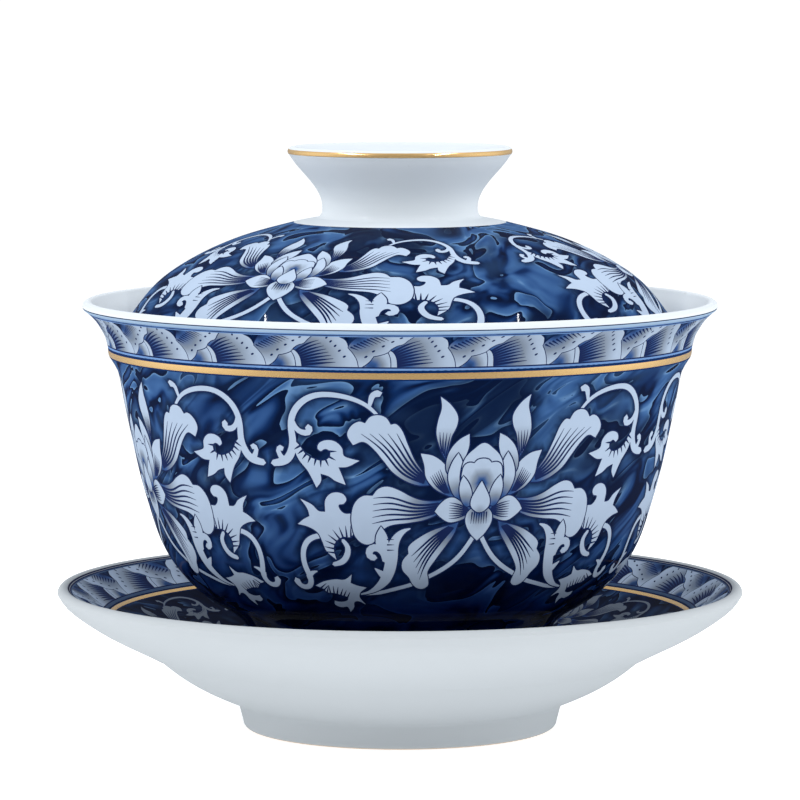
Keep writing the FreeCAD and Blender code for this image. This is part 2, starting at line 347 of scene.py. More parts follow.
def ringTree():  # sets copies of one repeat of a pattern round the axis and welds them
    tree, make, group = newTree("ringOfRepeats", {
        "Count": "Int", "Start": "Float", "Material": "Material"})
    count = group.out("Count")
    spots = make.add("GeometryNodePoints", {}, {"Count": count})
    turn = make.add("GeometryNodeInputIndex") / count * (2 * math.pi) + group.out("Start")
    facing = make.add("ShaderNodeCombineXYZ", {}, {"Z": turn})
    copies = make.add(
        "GeometryNodeInstanceOnPoints", {}, {"Points": spots, "Instance": group, "Rotation": facing})
    real = make.add("GeometryNodeRealizeInstances", {}, {0: copies})
    welded = make.add("GeometryNodeMergeByDistance", {}, {"Geometry": real, "Distance": layer["weld"]})
    finishTree(make, group, welded)
    return tree


def runTree(name, mesh, tree, values):
    piece = bpy.data.objects.new(name, mesh)
    scene.collection.objects.link(piece)
    modifier = piece.modifiers.new("nodes", "NODES")
    modifier.node_group = tree
    for item in tree.interface.items_tree:
        if item.in_out == "INPUT" and item.name in values:
            modifier[item.identifier] = values[item.name]
    graph = bpy.context.evaluated_depsgraph_get()
    plain = bpy.data.meshes.new_from_object(piece.evaluated_get(graph), depsgraph=graph)
    piece.modifiers.remove(modifier)
    piece.data = plain
    plain.name = name
    return piece


def signedVolume(mesh):
    mesh.calc_loop_triangles()
    corners = np.array([v.co for v in mesh.vertices])
    a, b, c = (corners[[t.vertices[k] for t in mesh.loop_triangles]] for k in range(3))
    return float(np.einsum("ij,ij->i", a, np.cross(b, c)).sum() / 6)


def settle(piece, body, node):
    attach(piece, body)
    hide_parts(node)
    print("made", piece.name, len(piece.data.polygons), "faces")


def turned(name, outline, material, body, node, segments=256, sharp=35):
    keep = np.r_[True, np.hypot(*np.diff(outline, axis=0).T) > 1e-4]
    outline = outline[keep] * mm
    mesh = bpy.data.meshes.new(name + "Outline")
    mesh.from_pydata([(r, 0, z) for r, z in outline], [(i, i + 1) for i in range(len(outline) - 1)], [])
    piece = runTree(
        name, mesh, trees["turning"], {"Points": len(outline), "Segments": segments, "Material": material})
    if signedVolume(piece.data) < 0:
        piece.data.flip_normals()
    piece.data.shade_smooth()
    piece.data.set_sharp_from_angle(angle=math.radians(sharp))
    settle(piece, body, node)


# Drawings are closed shapes. A place is (across, down) in millimetres. A third value marks a corner.

def closedShape(points, step=0.4):
    sharp = [len(p) > 2 for p in points]
    p = np.array([q[:2] for q in points], float)
    n, places = len(p), []
    for i in range(n):
        j = (i + 1) % n
        chord = p[j] - p[i]
        length = np.hypot(*chord)
        lead = chord if sharp[i] else p[j] - p[i - 1]
        tail = chord if sharp[j] else p[(j + 1) % n] - p[i]
        lead, tail = lead / np.hypot(*lead) * length, tail / np.hypot(*tail) * length
        for t in np.arange(0, 1, 1 / max(2, math.ceil(length / step))):
            places.append(
                (2 * t ** 3 - 3 * t ** 2 + 1) * p[i] + (t ** 3 - 2 * t ** 2 + t) * lead
                + (3 * t ** 2 - 2 * t ** 3) * p[j] + (t ** 3 - t ** 2) * tail)
    return anticlockwise(np.array(places))


def anticlockwise(places):
    x, y = places.T
    area = (x * np.roll(y, -1) - np.roll(x, -1) * y).sum()
    return places if area > 0 else places[::-1]


def grown(places, width):  # the same shape with its edge moved out
    before, after = np.roll(places, 1, axis=0), np.roll(places, -1, axis=0)
    first, second = places - before, after - places
    first /= np.hypot(*first.T)[:, None] + 1e-9
    second /= np.hypot(*second.T)[:, None] + 1e-9
    way = first + second
    way /= np.hypot(*way.T)[:, None] + 1e-9
    return places + np.c_[way[:, 1], -way[:, 0]] * width


def stroke(points, step=0.45):  # a brush line; each point is (across, down, half width)
    line = np.array(points, float)
    centre = spaced(line[:, :2], step)
    run = runOf(line[:, :2])
    half = np.interp(np.linspace(0, run[-1], len(centre)), run, line[:, 2])
    side = outwards(centre) * half[:, None]
    ends = []
    for at, turn in ((-1, 1), (0, -1)):
        way = np.array((-side[at][1], side[at][0])) / (half[at] + 1e-9) * turn
        ends.append(centre[at] + way * half[at] * 0.9)
    return anticlockwise(np.vstack([centre + side, ends[:1], (centre - side)[::-1], ends[1:]]))


def ribs(first, last, count, width=0.09):  # shading lines spread between two guide lines
    lines = []
    for share in np.linspace(0, 1, count):
        path = np.array(first, float) * (1 - share) + np.array(last, float) * share
        widths = np.interp(np.linspace(0, 1, len(path)), [0, 0.6, 1], [width, width * 0.9, width * 0.2])
        lines.append(stroke(np.c_[path, widths], 0.6))
    return lines


def spikes(edge, count, length, width=0.17):  # shading teeth that grow from an edge into a leaf
    path = spaced(edge, 0.1)
    ways = outwards(path) * length
    lines = []
    for at in np.linspace(0, len(path) - 1, count).astype(int):
        start, end = path[at] - ways[at] * 0.12, path[at] + ways[at]
        lines.append(stroke([(*start, width), (*((start + end) / 2), width * 0.7), (*end, 0.03)], 0.5))
    return lines


ink, pale, tint = 1, 2, 3
drawing = {"inkWidth": 0.2, "grid": 1.3, "haloStart": 0.2, "haloFade": 0.5}


def element(shape, lines=(), root=None, reach=4.0, depth=0.8, inkWidth=drawing["inkWidth"]):
    # one petal, leaf or stem: its dark edge, its pale face shaded from the root, and its shading lines
    layers = [
        {"kind": ink, "edge": grown(shape, inkWidth), "outline": True},
        {"kind": pale, "edge": shape, "root": root, "reach": reach, "depth": depth}]
    return layers + [{"kind": ink, "edge": line} for line in lines]


def leaf(points, *rest):
    return element(closedShape(points), *rest)


def stem(points):
    return element(stroke(points))


def joined(*elements):  # parts that grow into each other, with no line where they meet
    every = [item for part in elements for item in part]
    outlines = [item for item in every if item.get("outline")]
    faces = [item for item in every if item["kind"] == pale]
    return outlines + faces + [item for item in every if item["kind"] == ink and not item.get("outline")]


def moved(item, scale=(1, 1), shift=(0, 0)):
    edge = item["edge"] * scale + shift
    item = dict(item, edge=edge[::-1] if scale[0] < 0 else edge)
    if item.get("root"):
        item["root"] = tuple(np.array(item["root"]) * scale + shift)
    return item


def mirrored(layers):
    return [moved(item, (-1, 1)) for item in layers]


def upperVine():  # the long stem, the vine over the flower and its scrolling palmette
    parts = stem([
        (0.5, 24.6, .35), (3, 28.3, .38), (5.4, 30.3, .38), (8, 31.8, .36), (10.8, 33.2, .36),
        (13.7, 34.1, .36), (16.5, 34.9, .34), (20, 35.3, .25)])
    parts += joined(stem([
        (15.6, 5.8, .2), (17.6, 3.7, .3), (20, 2.5, .36), (22.7, 1.95, .42), (25.4, 2.15, .45),
        (27.5, 3.3, .48), (28.9, 5.1, .5), (29.4, 7.2, .5), (29.3, 9.4, .55), (29.7, 11.3, .65),
        (30.6, 12.5, .65), (31.8, 13, .6), (32.9, 13.2, .5)]),
        stem([(31, 12.8, .6), (31.7, 11.7, .38), (31.8, 10.9, .38), (31.3, 10.7, .5)]),
        stem([(17.4, 4, .2), (17.1, 2.9, .35), (16.7, 1.9, .45), (15.9, 1.6, .6)]),
        stem([(29.2, 5.8, .3), (28.6, 7.4, .4), (27.5, 8.1, .45), (26.6, 7.9, .5), (26.6, 7.2, .55)]),
        leaf([
            (29.2, 9.6), (28.7, 12.2), (27.2, 14.3), (26, 16.9, 1), (25.2, 15.8), (25.2, 14.6, 1),
            (23.9, 15), (22.9, 15.7), (21.3, 16.3, 1), (21.8, 14.8), (22.3, 13.5, 1), (20.9, 13.4),
            (19, 12.4, 1), (20.6, 12), (21.4, 11.6), (21.6, 10.4), (22.6, 9.4), (23.9, 9.2), (25.1, 9.7),
            (25.4, 10.6), (24.9, 11, 1), (24.2, 10.6), (23.5, 11), (23.6, 11.9), (24.6, 12.5), (26, 12.3),
            (27.4, 11.5), (28.4, 10)],
            spikes([(28.3, 10.3), (27.4, 11.5), (26, 12.3), (24.6, 12.5), (23.6, 11.9), (23.5, 11)],
                   9, 1.05, .19)))
    return parts


def upperLeaf():
    return leaf([
        (8.4, 16.3, 1), (9.9, 16.3), (11.9, 15.6), (13.9, 14.2), (15.3, 12.4), (16.8, 10.5), (18.3, 9.35),
        (19.9, 9.9, 1), (20.7, 8.3), (20.1, 6.9), (18.9, 6.15), (18, 6.4, 1), (17.2, 5.4), (16, 5.1),
        (14.9, 5.5), (14.2, 6.6, 1), (13.4, 6.5), (12.5, 7.6), (11.7, 9.7), (10.6, 12.3), (9, 14.8)],
        ribs([(9.2, 15.9), (12.4, 14.4), (15.4, 10.8), (18.6, 8.1)],
             [(8.9, 15), (10.7, 12.9), (12, 10.6), (13.3, 8)], 5, .19),
        (9, 15.8), 6.5)


def middlePalmette():  # the palmette beside the flower, its ring curl and trailing vine
    parts = joined(stem([
        (24.6, 24.7, .4), (26.6, 24.9, .42), (28.2, 25.6, .45), (29.2, 26.9, .45), (29.6, 28.6, .45),
        (29.4, 30.6, .48), (29, 32.4, .52), (29.4, 33.7, .48), (30.3, 34.2, .48), (31.4, 33.8, .5),
        (31.8, 32.9, .6)]),
        stem([(29.3, 32.2, .5), (28.4, 31.3, .35), (27.5, 31, .1)]))
    parts += stem([
        (22.3, 25.5, .3), (21.6, 26.6, .42), (21.8, 28, .5), (22.7, 29.1, .48), (24.2, 29.6, .35)])
    parts += leaf([
        (20.4, 21.2), (21.7, 21), (22.4, 20.4), (22.6, 19.6), (21.8, 19.4), (21.3, 18.6), (22, 17.7),
        (23.6, 17.7), (24.7, 18.8), (24.9, 20.8, 1), (26, 20.7), (27, 19.7), (28.9, 18.8, 1),
        (27.9, 20.3), (27.6, 21.6, 1), (28.6, 22.1), (29.8, 23, 1), (28, 23.4), (26.5, 24.3),
        (25.9, 25.6), (25.3, 27.3), (23.7, 28.8, 1), (24, 27), (23.5, 25.7), (22.3, 24.9), (20.7, 24.7)],
        spikes([(24, 27.6), (23.8, 26.4), (23.2, 25.4), (22.2, 24.8), (20.9, 24.7)], 8, -1.7))
    return parts


def middleLeaf():
    return leaf([
        (4.6, 18.4, 1), (7, 18.9), (9.2, 18.8), (11, 18.2), (13, 17.1), (14.8, 16.5), (16.2, 16.9),
        (17.1, 18, 1), (18.7, 18.1), (20, 19.3), (20.6, 21.2), (20.6, 23.2), (20.1, 24.9), (18.8, 26),
        (17.3, 25.8), (16.4, 24.3), (14.5, 22.9), (11.4, 22.4), (8.8, 21.9), (6.4, 20.7)],
        ribs([(6.8, 19.3), (10.6, 19.4), (14.2, 18.3), (17, 18.4)],
             [(7.4, 20.9), (10.9, 21.7), (14.6, 22), (17.3, 22.6)], 5, .19),
        (6.6, 19.9), 7)


def lowerLeaf():
    return leaf([
        (3.4, 22.5, 1), (4, 24.4), (5.3, 26.4), (6.9, 28.7), (8.1, 30.8), (7.9, 32.2), (7.9, 33.5),
        (9.1, 34.1), (10.4, 33.4), (11.3, 31.8), (12.4, 30.4), (12.4, 28.9), (11.4, 27.6, 1),
        (11.4, 26.4), (9.8, 25), (7.4, 23.7)],
        ribs([(4.2, 23.4), (6.6, 26.4), (8.6, 29.6), (9.4, 32.2)],
             [(4.9, 23.2), (7.4, 24.8), (9.4, 26.6), (10.9, 28)], 5, .19),
        (4.2, 23), 6)


def acanthus():  # the toothed scroll between the two lower leaves
    return joined(stem([
        (15.3, 28.8, .5), (15.7, 27.4, .55), (16.8, 26.6, .6), (17.9, 27.1, .6), (17.8, 28.1, .55),
        (17.1, 28.3, .5)]),
        stem([(15.2, 31.9, .7), (16.2, 31, .5), (17.1, 30.2, .1)]),
        leaf([
            (15, 28.4, 1), (14.7, 26.2), (15, 24.5), (15.9, 23, 1), (16.7, 24.5), (16.8, 26),
            (16.2, 27.4, 1)],
            spikes([(14.8, 25.2), (14.8, 27)], 3, -1, .12)),
        stem([
            (20, 35.3, .15), (18.4, 34.8, .3), (16.8, 33.8, .6), (15.4, 32.2, .9), (14.6, 30.2, 1),
            (14.2, 28, 1), (13.9, 26.1, .85), (13.1, 24.6, .6), (12.2, 23.8, .35), (11.2, 23.4, .1)]))


def lowestPalmette():
    return leaf([
        (28.4, 33.8, 1), (26.6, 32.9), (24.4, 32.4), (22.7, 32.4), (21.3, 31.4, 1), (21.7, 33, 1),
        (20.6, 33.5), (18.9, 33.9, 1), (20.1, 34.9), (20.4, 36), (19.5, 37.6, 1), (20.8, 36.9),
        (21.6, 37.2), (21.9, 38.4), (22.9, 39.7, 1), (23.2, 38.4), (24.5, 38.5), (25.6, 37.9),
        (25.5, 37, 1), (24.2, 37.2), (22.9, 36.8), (22.7, 36.1), (23.9, 35.6), (25.2, 35.2), (26.4, 35.1),
        (27, 34.4)],
        spikes([(27.4, 34.2), (26.4, 35.1), (25.2, 35.2), (23.9, 35.6), (22.8, 36.2)], 9, -1.5))


def flamePetal():
    return leaf([
        (6.9, 2.2, 1), (5.4, 3.5), (4.3, 5.3), (4.4, 6.9), (5.1, 8.5), (5.5, 10.3), (5.8, 12.4, 1),
        (6.7, 10.6), (7.4, 8.1), (7.2, 6), (6.7, 4)],
        ribs([(5.9, 11.9), (5.6, 9.9), (5.3, 8)], [(6.5, 10.9), (6.8, 9.3), (6.9, 7.8)], 4, .12),
        (5.9, 12.2), 5.5)


def sidePetals():  # from the outermost, the last one lying under the bud
    parts = leaf([
        (9.7, 11.2, 1), (7.8, 11.6), (6.1, 12.9), (5.2, 14.7), (5, 16.7), (4.2, 18.4, 1), (5.6, 17.9),
        (7.4, 16.9), (8.8, 15.1), (9.15, 13)],
        ribs([(5.2, 17.6), (6, 15.6), (6.7, 13.8)], [(5.8, 17.6), (7.2, 16.4), (8.2, 14.9)], 6, .13),
        (5, 17.4), 4)
    parts += leaf([
        (2.4, 8.2, 1), (3.8, 9), (5.1, 10.5), (5.75, 12.5), (5.5, 14.4), (4.3, 14.6), (3.2, 12.6),
        (2.4, 10.3)],
        (), (4.4, 14.6), 4, .6)
    parts += leaf([
        (3.95, 11.2, 1), (3.3, 12.6), (3.1, 15), (3.1, 17.2), (2.7, 18.8), (3.9, 18.5), (4.9, 17),
        (5.4, 14.8), (4.85, 12.7)],
        (), (3.3, 18.6), 4, .8)
    parts += leaf([
        (7.3, 20.6, 1), (6.6, 19.5), (5.4, 18.5), (4.3, 18.4), (2.9, 19.3), (1.2, 20.1), (1.5, 21.2),
        (3.1, 22.1), (4.9, 22.4), (6.3, 21.6)],
        ribs([(1.9, 20.3), (3.6, 19.5), (5, 19.2)], [(2.1, 21.1), (3.6, 21.7), (5, 21.8)], 7, .13),
        (1.6, 20.6), 3.6)
    return parts


def lotusHalf():  # one side of the lotus scroll, from the back to the front
    behind = upperVine() + upperLeaf() + middlePalmette() + middleLeaf() + lowerLeaf()
    return behind + acanthus() + lowestPalmette() + flamePetal() + sidePetals()


def lotusHeart():
    # what stands on the mirror line, back to front
    def whole(side):
        points = [(-p[0], *p[1:]) for p in side if p[0] > 0]
        return closedShape(side + points[::-1])
    bud = element(whole([
        (0, 9.7), (1.6, 10.7), (2.8, 12), (3.3, 13.6), (3.4, 15.6), (2.8, 18.5), (0, 20.6)]))
    scallops = element(whole([
        (0, 12.2), (.9, 12.4), (1.35, 12.9, 1), (2.2, 12.8), (2.9, 13.2), (3.2, 14.2), (3.3, 16),
        (2.7, 18.6), (0, 20.6)]),
        (), (0, 16), 2.6, .95)
    side = leaf([
        (3, 14.9, 1), (2.1, 16.1), (1.5, 17.7), (1.5, 19.3), (2.2, 19.9), (3.1, 18.8), (3.5, 17.2),
        (3.4, 15.9)],
        (), (2.4, 19.9), 3.2, .8)
    under = element(
        whole([(0, 19.6), (1.9, 20.8), (2.2, 22.4), (1.3, 24.3), (0, 25.6, 1)]),
        ribs([(-1.2, 20.9), (-1.3, 22.8)], [(1.2, 20.9), (1.3, 22.8)], 7, .13), (0, 20.9), 2.6)
    front = element(
        whole([(0, 15.8, 1), (.7, 17), (1.5, 18.7), (1.4, 20), (0, 20.9)]), (), (0, 20.9), 1.6, .35)
    return under + bud + scallops + side + mirrored(side) + front


def lotusScroll():
    half = lotusHalf()
    return half + mirrored(half) + lotusHeart()


# the wave border: folded leaves that lap over each other, with a small fan in each fold
border = {"repeat": 14.92, "drop": 0.35}


def dots(places, tilt, twist=0):
    every = []
    for i, place in enumerate(places):
        turn = math.radians(tilt + twist * i)
        cos, sin = math.cos(turn), math.sin(turn)
        oval = arc((0, 0), 1, 0, 324, 36) * (0.3, 0.15) @ np.array([(cos, sin), (-sin, cos)])
        every.append({"kind": ink, "edge": anticlockwise(oval + place)})
    return every


def waveBorder():
    fold = leaf([
        (-15.6, 5.3, 1), (-15.35, 4.2), (-15.7, 3.3), (-16.5, 2.6, 1), (-14.4, 1), (-12.6, -.3, 1),
        (-9.2, -.3, 1), (-8.9, .1), (-8, .9), (-7.7, 2.2, 1), (-7.1, 3), (-6.5, 4.2), (-6.3, 5.3, 1),
        (-10, 5.25)],
        ribs([(-16, 2.9), (-14, 1.7), (-12, .9)], [(-15.3, 5), (-12.5, 4.7), (-9.9, 4.5)], 8, .17),
        (-15.9, 4.4), 8.5, 1, .13)
    fold += dots([(-10.7, .35), (-10.2, 1.1), (-9.65, 1.9), (-9.1, 2.7), (-8.45, 3.65)], -55, 8)
    fan = leaf(
        [(-6.1, 5.3, 1), (-5.2, 4.4), (-4, 3.3), (-1.8, 2.6), (-1.1, 2.9), (-.6, 3.8), (-.45, 5.3, 1)],
        [stroke([(-1.8, 2.9, .07), (-1.45, 3.9, .07), (-1.4, 5.3, .07)])], (-4.3, 5), 2.8, .95, .19)
    ribbon = leaf([
        (-6.3, 5.3, 1), (-5.5, 4.95), (-4.6, 4.3), (-4, 3.55, 1), (-3, 3.35), (-1.9, 2.95),
        (-1.3, 2.35, 1), (-.4, 1.8), (.5, 1.5), (1.2, .8, 1), (2.4, -.3, 1), (-5.6, -.3, 1), (-7.4, 1.6),
        (-7.7, 2.2, 1), (-7.1, 3), (-6.5, 4.2)],
        ribs([(-7.3, 2.1), (-6.2, 2.6)], [(-3.2, -.2), (-1.6, .9)], 9, .16), (-6.3, .2), 5.5, 1, .13)
    ribbon += dots([(-5.15, 3.65), (-3.95, 2.75), (-2.45, 1.9), (-1.05, 1.1), (.2, .35)], -28)
    shapes = []
    for group in (fold, fan, ribbon):
        for shift in (-border["repeat"], 0, border["repeat"]):
            shapes += [moved(item, shift=(shift, border["drop"])) for item in group]
    for top, bottom, kind in ((-1, .5, tint), (.12, .32, ink), (5.5, 9, ink), (5.7, 6.2, tint)):
        along = np.linspace(-9, 9, 19)
        edge = np.vstack([np.c_[along, 0 * along + top], np.c_[along[::-1], 0 * along + bottom]])
        shapes.append({"kind": kind, "edge": edge})
    return shapes


def inside(places, edge):  # winding number of a closed edge about each place
    x, y = places[:, :1], places[:, 1:]
    x0, y0 = edge.T
    x1, y1 = np.roll(edge, -1, axis=0).T
    side = (x1 - x0) * (y - y0) - (x - x0) * (y1 - y0)
    return ((y0 <= y) & (y1 > y) & (side > 0)).sum(1) - ((y0 > y) & (y1 <= y) & (side < 0)).sum(1) != 0


def surfaceOf(sheet):
    curve = spaced(sheet["curve"], 0.2)
    if sheet["fromEnd"]:
        curve = curve[::-1]
    normal = outwards(curve) * (-1 if sheet["fromEnd"] else 1)
    return runOf(curve), curve + (0, sheet["base"]), normal


def triangulated(sheet, shapes, width, length):
    # every edge becomes part of one net of triangles, and each triangle takes the topmost shape over it
    step = drawing["grid"] * sheet["gridScale"]
    across = np.linspace(-width / 2, width / 2, max(3, round(width / step)) + 1)
    down = np.linspace(0, length, max(3, round(length / step)) + 1)
    frameEdge = np.vstack([
        np.c_[across[:-1], 0 * across[:-1]], np.c_[0 * down[:-1] + width / 2, down[:-1]],
        np.c_[across[:0:-1], 0 * across[:-1] + length], np.c_[0 * down[:-1] - width / 2, down[:0:-1]]])
    a, b = np.meshgrid(across[1:-1], down[1:-1])
    a = a + (np.arange(len(down) - 2) % 2)[:, None] * step / 2 * (a < width / 2 - step)
    around = np.arange(len(frameEdge))
    points, lines = [frameEdge], [np.c_[around, np.roll(around, -1)]]
    start = len(frameEdge)
    for shape in shapes:
        count = len(shape["edge"])
        points.append(shape["edge"])
        lines.append(np.c_[np.arange(count), np.roll(np.arange(count), -1)] + start)
        start += count
    points.append(np.c_[a.ravel(), b.ravel()])
    points, lines = np.vstack(points), np.vstack(lines)
    result = geometry.delaunay_2d_cdt([Vector(p) for p in points], lines.tolist(), [], 0, 1e-4)
    places, faces = np.array([tuple(v) for v in result[0]]), np.array(result[2])
    middle = places[faces].mean(axis=1)
    within = (np.abs(middle[:, 0]) < width / 2) & (middle[:, 1] > 0) & (middle[:, 1] < length)
    faces, middle = faces[within], middle[within]
    owner = np.full(len(faces), -1)
    for number, shape in enumerate(shapes):
        low, high = shape["edge"].min(axis=0), shape["edge"].max(axis=0)
        near = np.flatnonzero(((middle >= low) & (middle <= high)).all(axis=1))
        if len(near):
            owner[near[inside(middle[near], shape["edge"])]] = number
    kinds = np.array([s["kind"] for s in shapes] + [0])[owner]
    return places, faces, owner, kinds


def shadeAt(places, faces, owner, shapes):  # how deep the blue is at each place of the pale faces
    shade = np.zeros(len(places))
    for number in np.unique(owner):
        shape = shapes[number]
        if shape.get("root") is None:
            continue
        at = np.unique(faces[owner == number])
        away = np.hypot(*(places[at] - shape["root"]).T) / shape["reach"]
        shade[at] = np.clip(1 - away, 0, 1) ** 1.3 * shape["depth"]
    return shade


def inlay(name, sheet, places, faces, attributes, material):
    # one repeat of a printed area as a thin closed tile, then set round the axis
    run, curve, normal = surfaceOf(sheet)
    used, faces = np.unique(faces, return_inverse=True)
    faces = faces.reshape(-1, 3)
    at = places[used]
    turn = at[:, 0] / sheet["radius"]
    r, z, out, up = (np.interp(at[:, 1], run, line) for line in (*curve.T, *normal.T))
    depth = layer["printDepth"] * 0.9

    def placed(sink):
        radius, height = r - out * sink, z - up * sink
        return np.c_[radius * np.sin(turn), -radius * np.cos(turn), height] * mm
    top, bottom = placed(0), placed(depth)
    a, b, c = (top[faces[:, k]] for k in range(3))
    outside = np.c_[out * np.sin(turn), -out * np.cos(turn), up][faces[:, 0]]
    facing = np.einsum("ij,ij->i", np.cross(b - a, c - a), outside)
    faces = np.where((facing < 0)[:, None], faces[:, ::-1], faces)
    sides = np.vstack([faces[:, [0, 1]], faces[:, [1, 2]], faces[:, [2, 0]]])
    key = np.sort(sides, axis=1)
    _, first, count = np.unique(key, axis=0, return_index=True, return_counts=True)
    rim = sides[first[count == 1]]
    half = math.pi * sheet["radius"] / sheet["count"]
    onSeam = (np.abs(np.abs(at[rim][:, :, 0]) - half) < 1e-3).all(axis=1)
    rim = rim[~onSeam]
    n = len(at)
    walls = np.c_[rim[:, 1], rim[:, 0], rim[:, 0] + n, rim[:, 1] + n]
    mesh = bpy.data.meshes.new(name + "Repeat")
    mesh.from_pydata(
        np.vstack([top, bottom]).tolist(), [],
        faces.tolist() + (faces[:, ::-1] + n).tolist() + walls.tolist())
    amounts = {label: amount[used] for label, amount in attributes.items()}
    for label, amount in {**amounts, "out": out, "up": up}.items():
        both = np.r_[amount, amount].astype(np.float32)
        mesh.attributes.new(label, "FLOAT", "POINT").data.foreach_set("value", both)
    layerOf = np.r_[np.ones(len(faces)), -np.ones(len(faces)), np.zeros(len(walls))]
    mesh.attributes.new("side", "FLOAT", "FACE").data.foreach_set("value", layerOf.astype(np.float32))
    piece = runTree(
        name, mesh, trees["ring"],
        {"Count": sheet["count"], "Start": math.radians(sheet["turn"]), "Material": material})
    setNormals(piece.data)
    settle(piece, sheet["body"], sheet["node"])


def attributeOf(mesh, label):
    data = mesh.attributes[label].data
    amounts = np.zeros(len(data), np.float32)
    data.foreach_get("value", amounts)
    return amounts


def setNormals(mesh):
    # the glaze over a print is as smooth as the turned surface, whatever its triangles are
    mesh.shade_smooth()
    spots = np.zeros(len(mesh.vertices) * 3)
    mesh.vertices.foreach_get("co", spots)
    spots = spots.reshape(-1, 3)
    flat = spots[:, :2] / np.hypot(*spots[:, :2].T)[:, None]
    ideal = np.c_[flat * attributeOf(mesh, "out")[:, None], attributeOf(mesh, "up")]
    corner = np.zeros(len(mesh.loops), int)
    mesh.loops.foreach_get("vertex_index", corner)
    sizes = np.zeros(len(mesh.polygons), int)
    mesh.polygons.foreach_get("loop_total", sizes)
    side = np.repeat(attributeOf(mesh, "side"), sizes)
    mesh.normals_split_custom_set((ideal[corner] * side[:, None]).tolist())


finish = {
    "gloss": 0.13,
    "white": (0.65, 0.695, 0.735),
    "warm": (0.62, 0.50, 0.38),  # bare clay where a foot touches
    # the bowl's white darkened for the saucer: painted shade, offsetting the floor's glow on its underside
    "saucerWhiteShaded": (0.435, 0.466, 0.49),
    "pale": (0.34, 0.42, 0.54),
    "shadeBlue": (0.030, 0.075, 0.21),
    "inkBlue": (0.004, 0.010, 0.045),
    "tintBlue": (0.085, 0.16, 0.32),
    "rimBlue": (0.27, 0.38, 0.52),
    "navy": (0.0012, 0.0055, 0.026),
    "cobalt": (0.0035, 0.019, 0.08),
    "wash": (0.042, 0.11, 0.26),
    "gold": (1.0, 0.66, 0.29),
}


surface = {
    "swellScale": 55.0, "skinScale": 900.0, "skinShare": 0.02, "ringPitch": 1700, "rings": 0.08,
    "bump": 0.12, "bumpDepth": 0.0006, "coatRoughness": 0.035}


def newMaterial(name):
    material = bpy.data.materials.new(name)
    material.use_nodes = True
    material.node_tree.nodes.clear()
    return material, Maker(material.node_tree)


def glazed(make, colour, roughness, bump, gloss=finish["gloss"]):
    shader = make.add("ShaderNodeBsdfPrincipled", {}, {
        "Base Color": colour, "Roughness": roughness, "Specular IOR Level": 0.0, "Normal": bump,
        "Coat Weight": gloss, "Coat Roughness": surface["coatRoughness"]})
    make.add("ShaderNodeOutputMaterial", {}, {0: shader})


def glazeSurface(make, rings=0.0):  # the faint unevenness of a fired glaze, and of the thrown clay below
    place = make.add("ShaderNodeTexCoord").out("Object")
    swell = make.noise(place, surface["swellScale"])
    height = swell + make.noise(place, surface["skinScale"], 1.0) * surface["skinShare"]
    if rings:
        climb = make.parts(place)[2] * surface["ringPitch"] + swell * 3.0
        height = height + make.math("SINE", climb) * rings
    bump = make.add("ShaderNodeBump", {}, {
        "Strength": surface["bump"], "Distance": surface["bumpDepth"], "Height": height})
    return place, bump


def porcelain(name, footHeight, painted=(), tone="white"):
    material, make = newMaterial(name)
    place, bump = glazeSurface(make, surface["rings"])
    cloud = make.noise(place, 24.0, 3.0)
    specks = ((make.noise(place, 520.0) - 0.74) * 14).clamp() * 0.35
    body = make.blend(cloud, finish[tone], tuple(c * 0.95 for c in finish[tone]))
    body = make.blend(specks, body, (0.42, 0.44, 0.45))
    across, along, height = make.parts(place)
    radius = (across * across + along * along).power(0.5)
    for low, high, inner, outer, colour in painted:  # fine lines and narrow ledges that are blue as well
        band = ((height - low * mm) / (0.04 * mm)).clamp() * ((high * mm - height) / (0.04 * mm)).clamp()
        ring = ((radius - inner * mm) / (0.1 * mm)).clamp() * ((outer * mm - radius) / (0.1 * mm)).clamp()
        body = make.blend(band * ring, body, finish[colour])
    bare = (1 - (height - (footHeight + 0.05) * mm) / (0.25 * mm)).clamp()
    glazed(
        make, make.blend(bare, body, finish["warm"]), bare * 0.3 + cloud * 0.06 + 0.4, bump,
        (1 - bare) * finish["gloss"])
    return material


pooling = {
    "scale": 78.0, "curl": 0.9, "bend": 0.030, "folds": 4.8, "deepScale": 55.0, "deepShare": 0.93,
    "hazeScale": 60.0, "hazeShare": 0.28, "haloShare": 0.85}


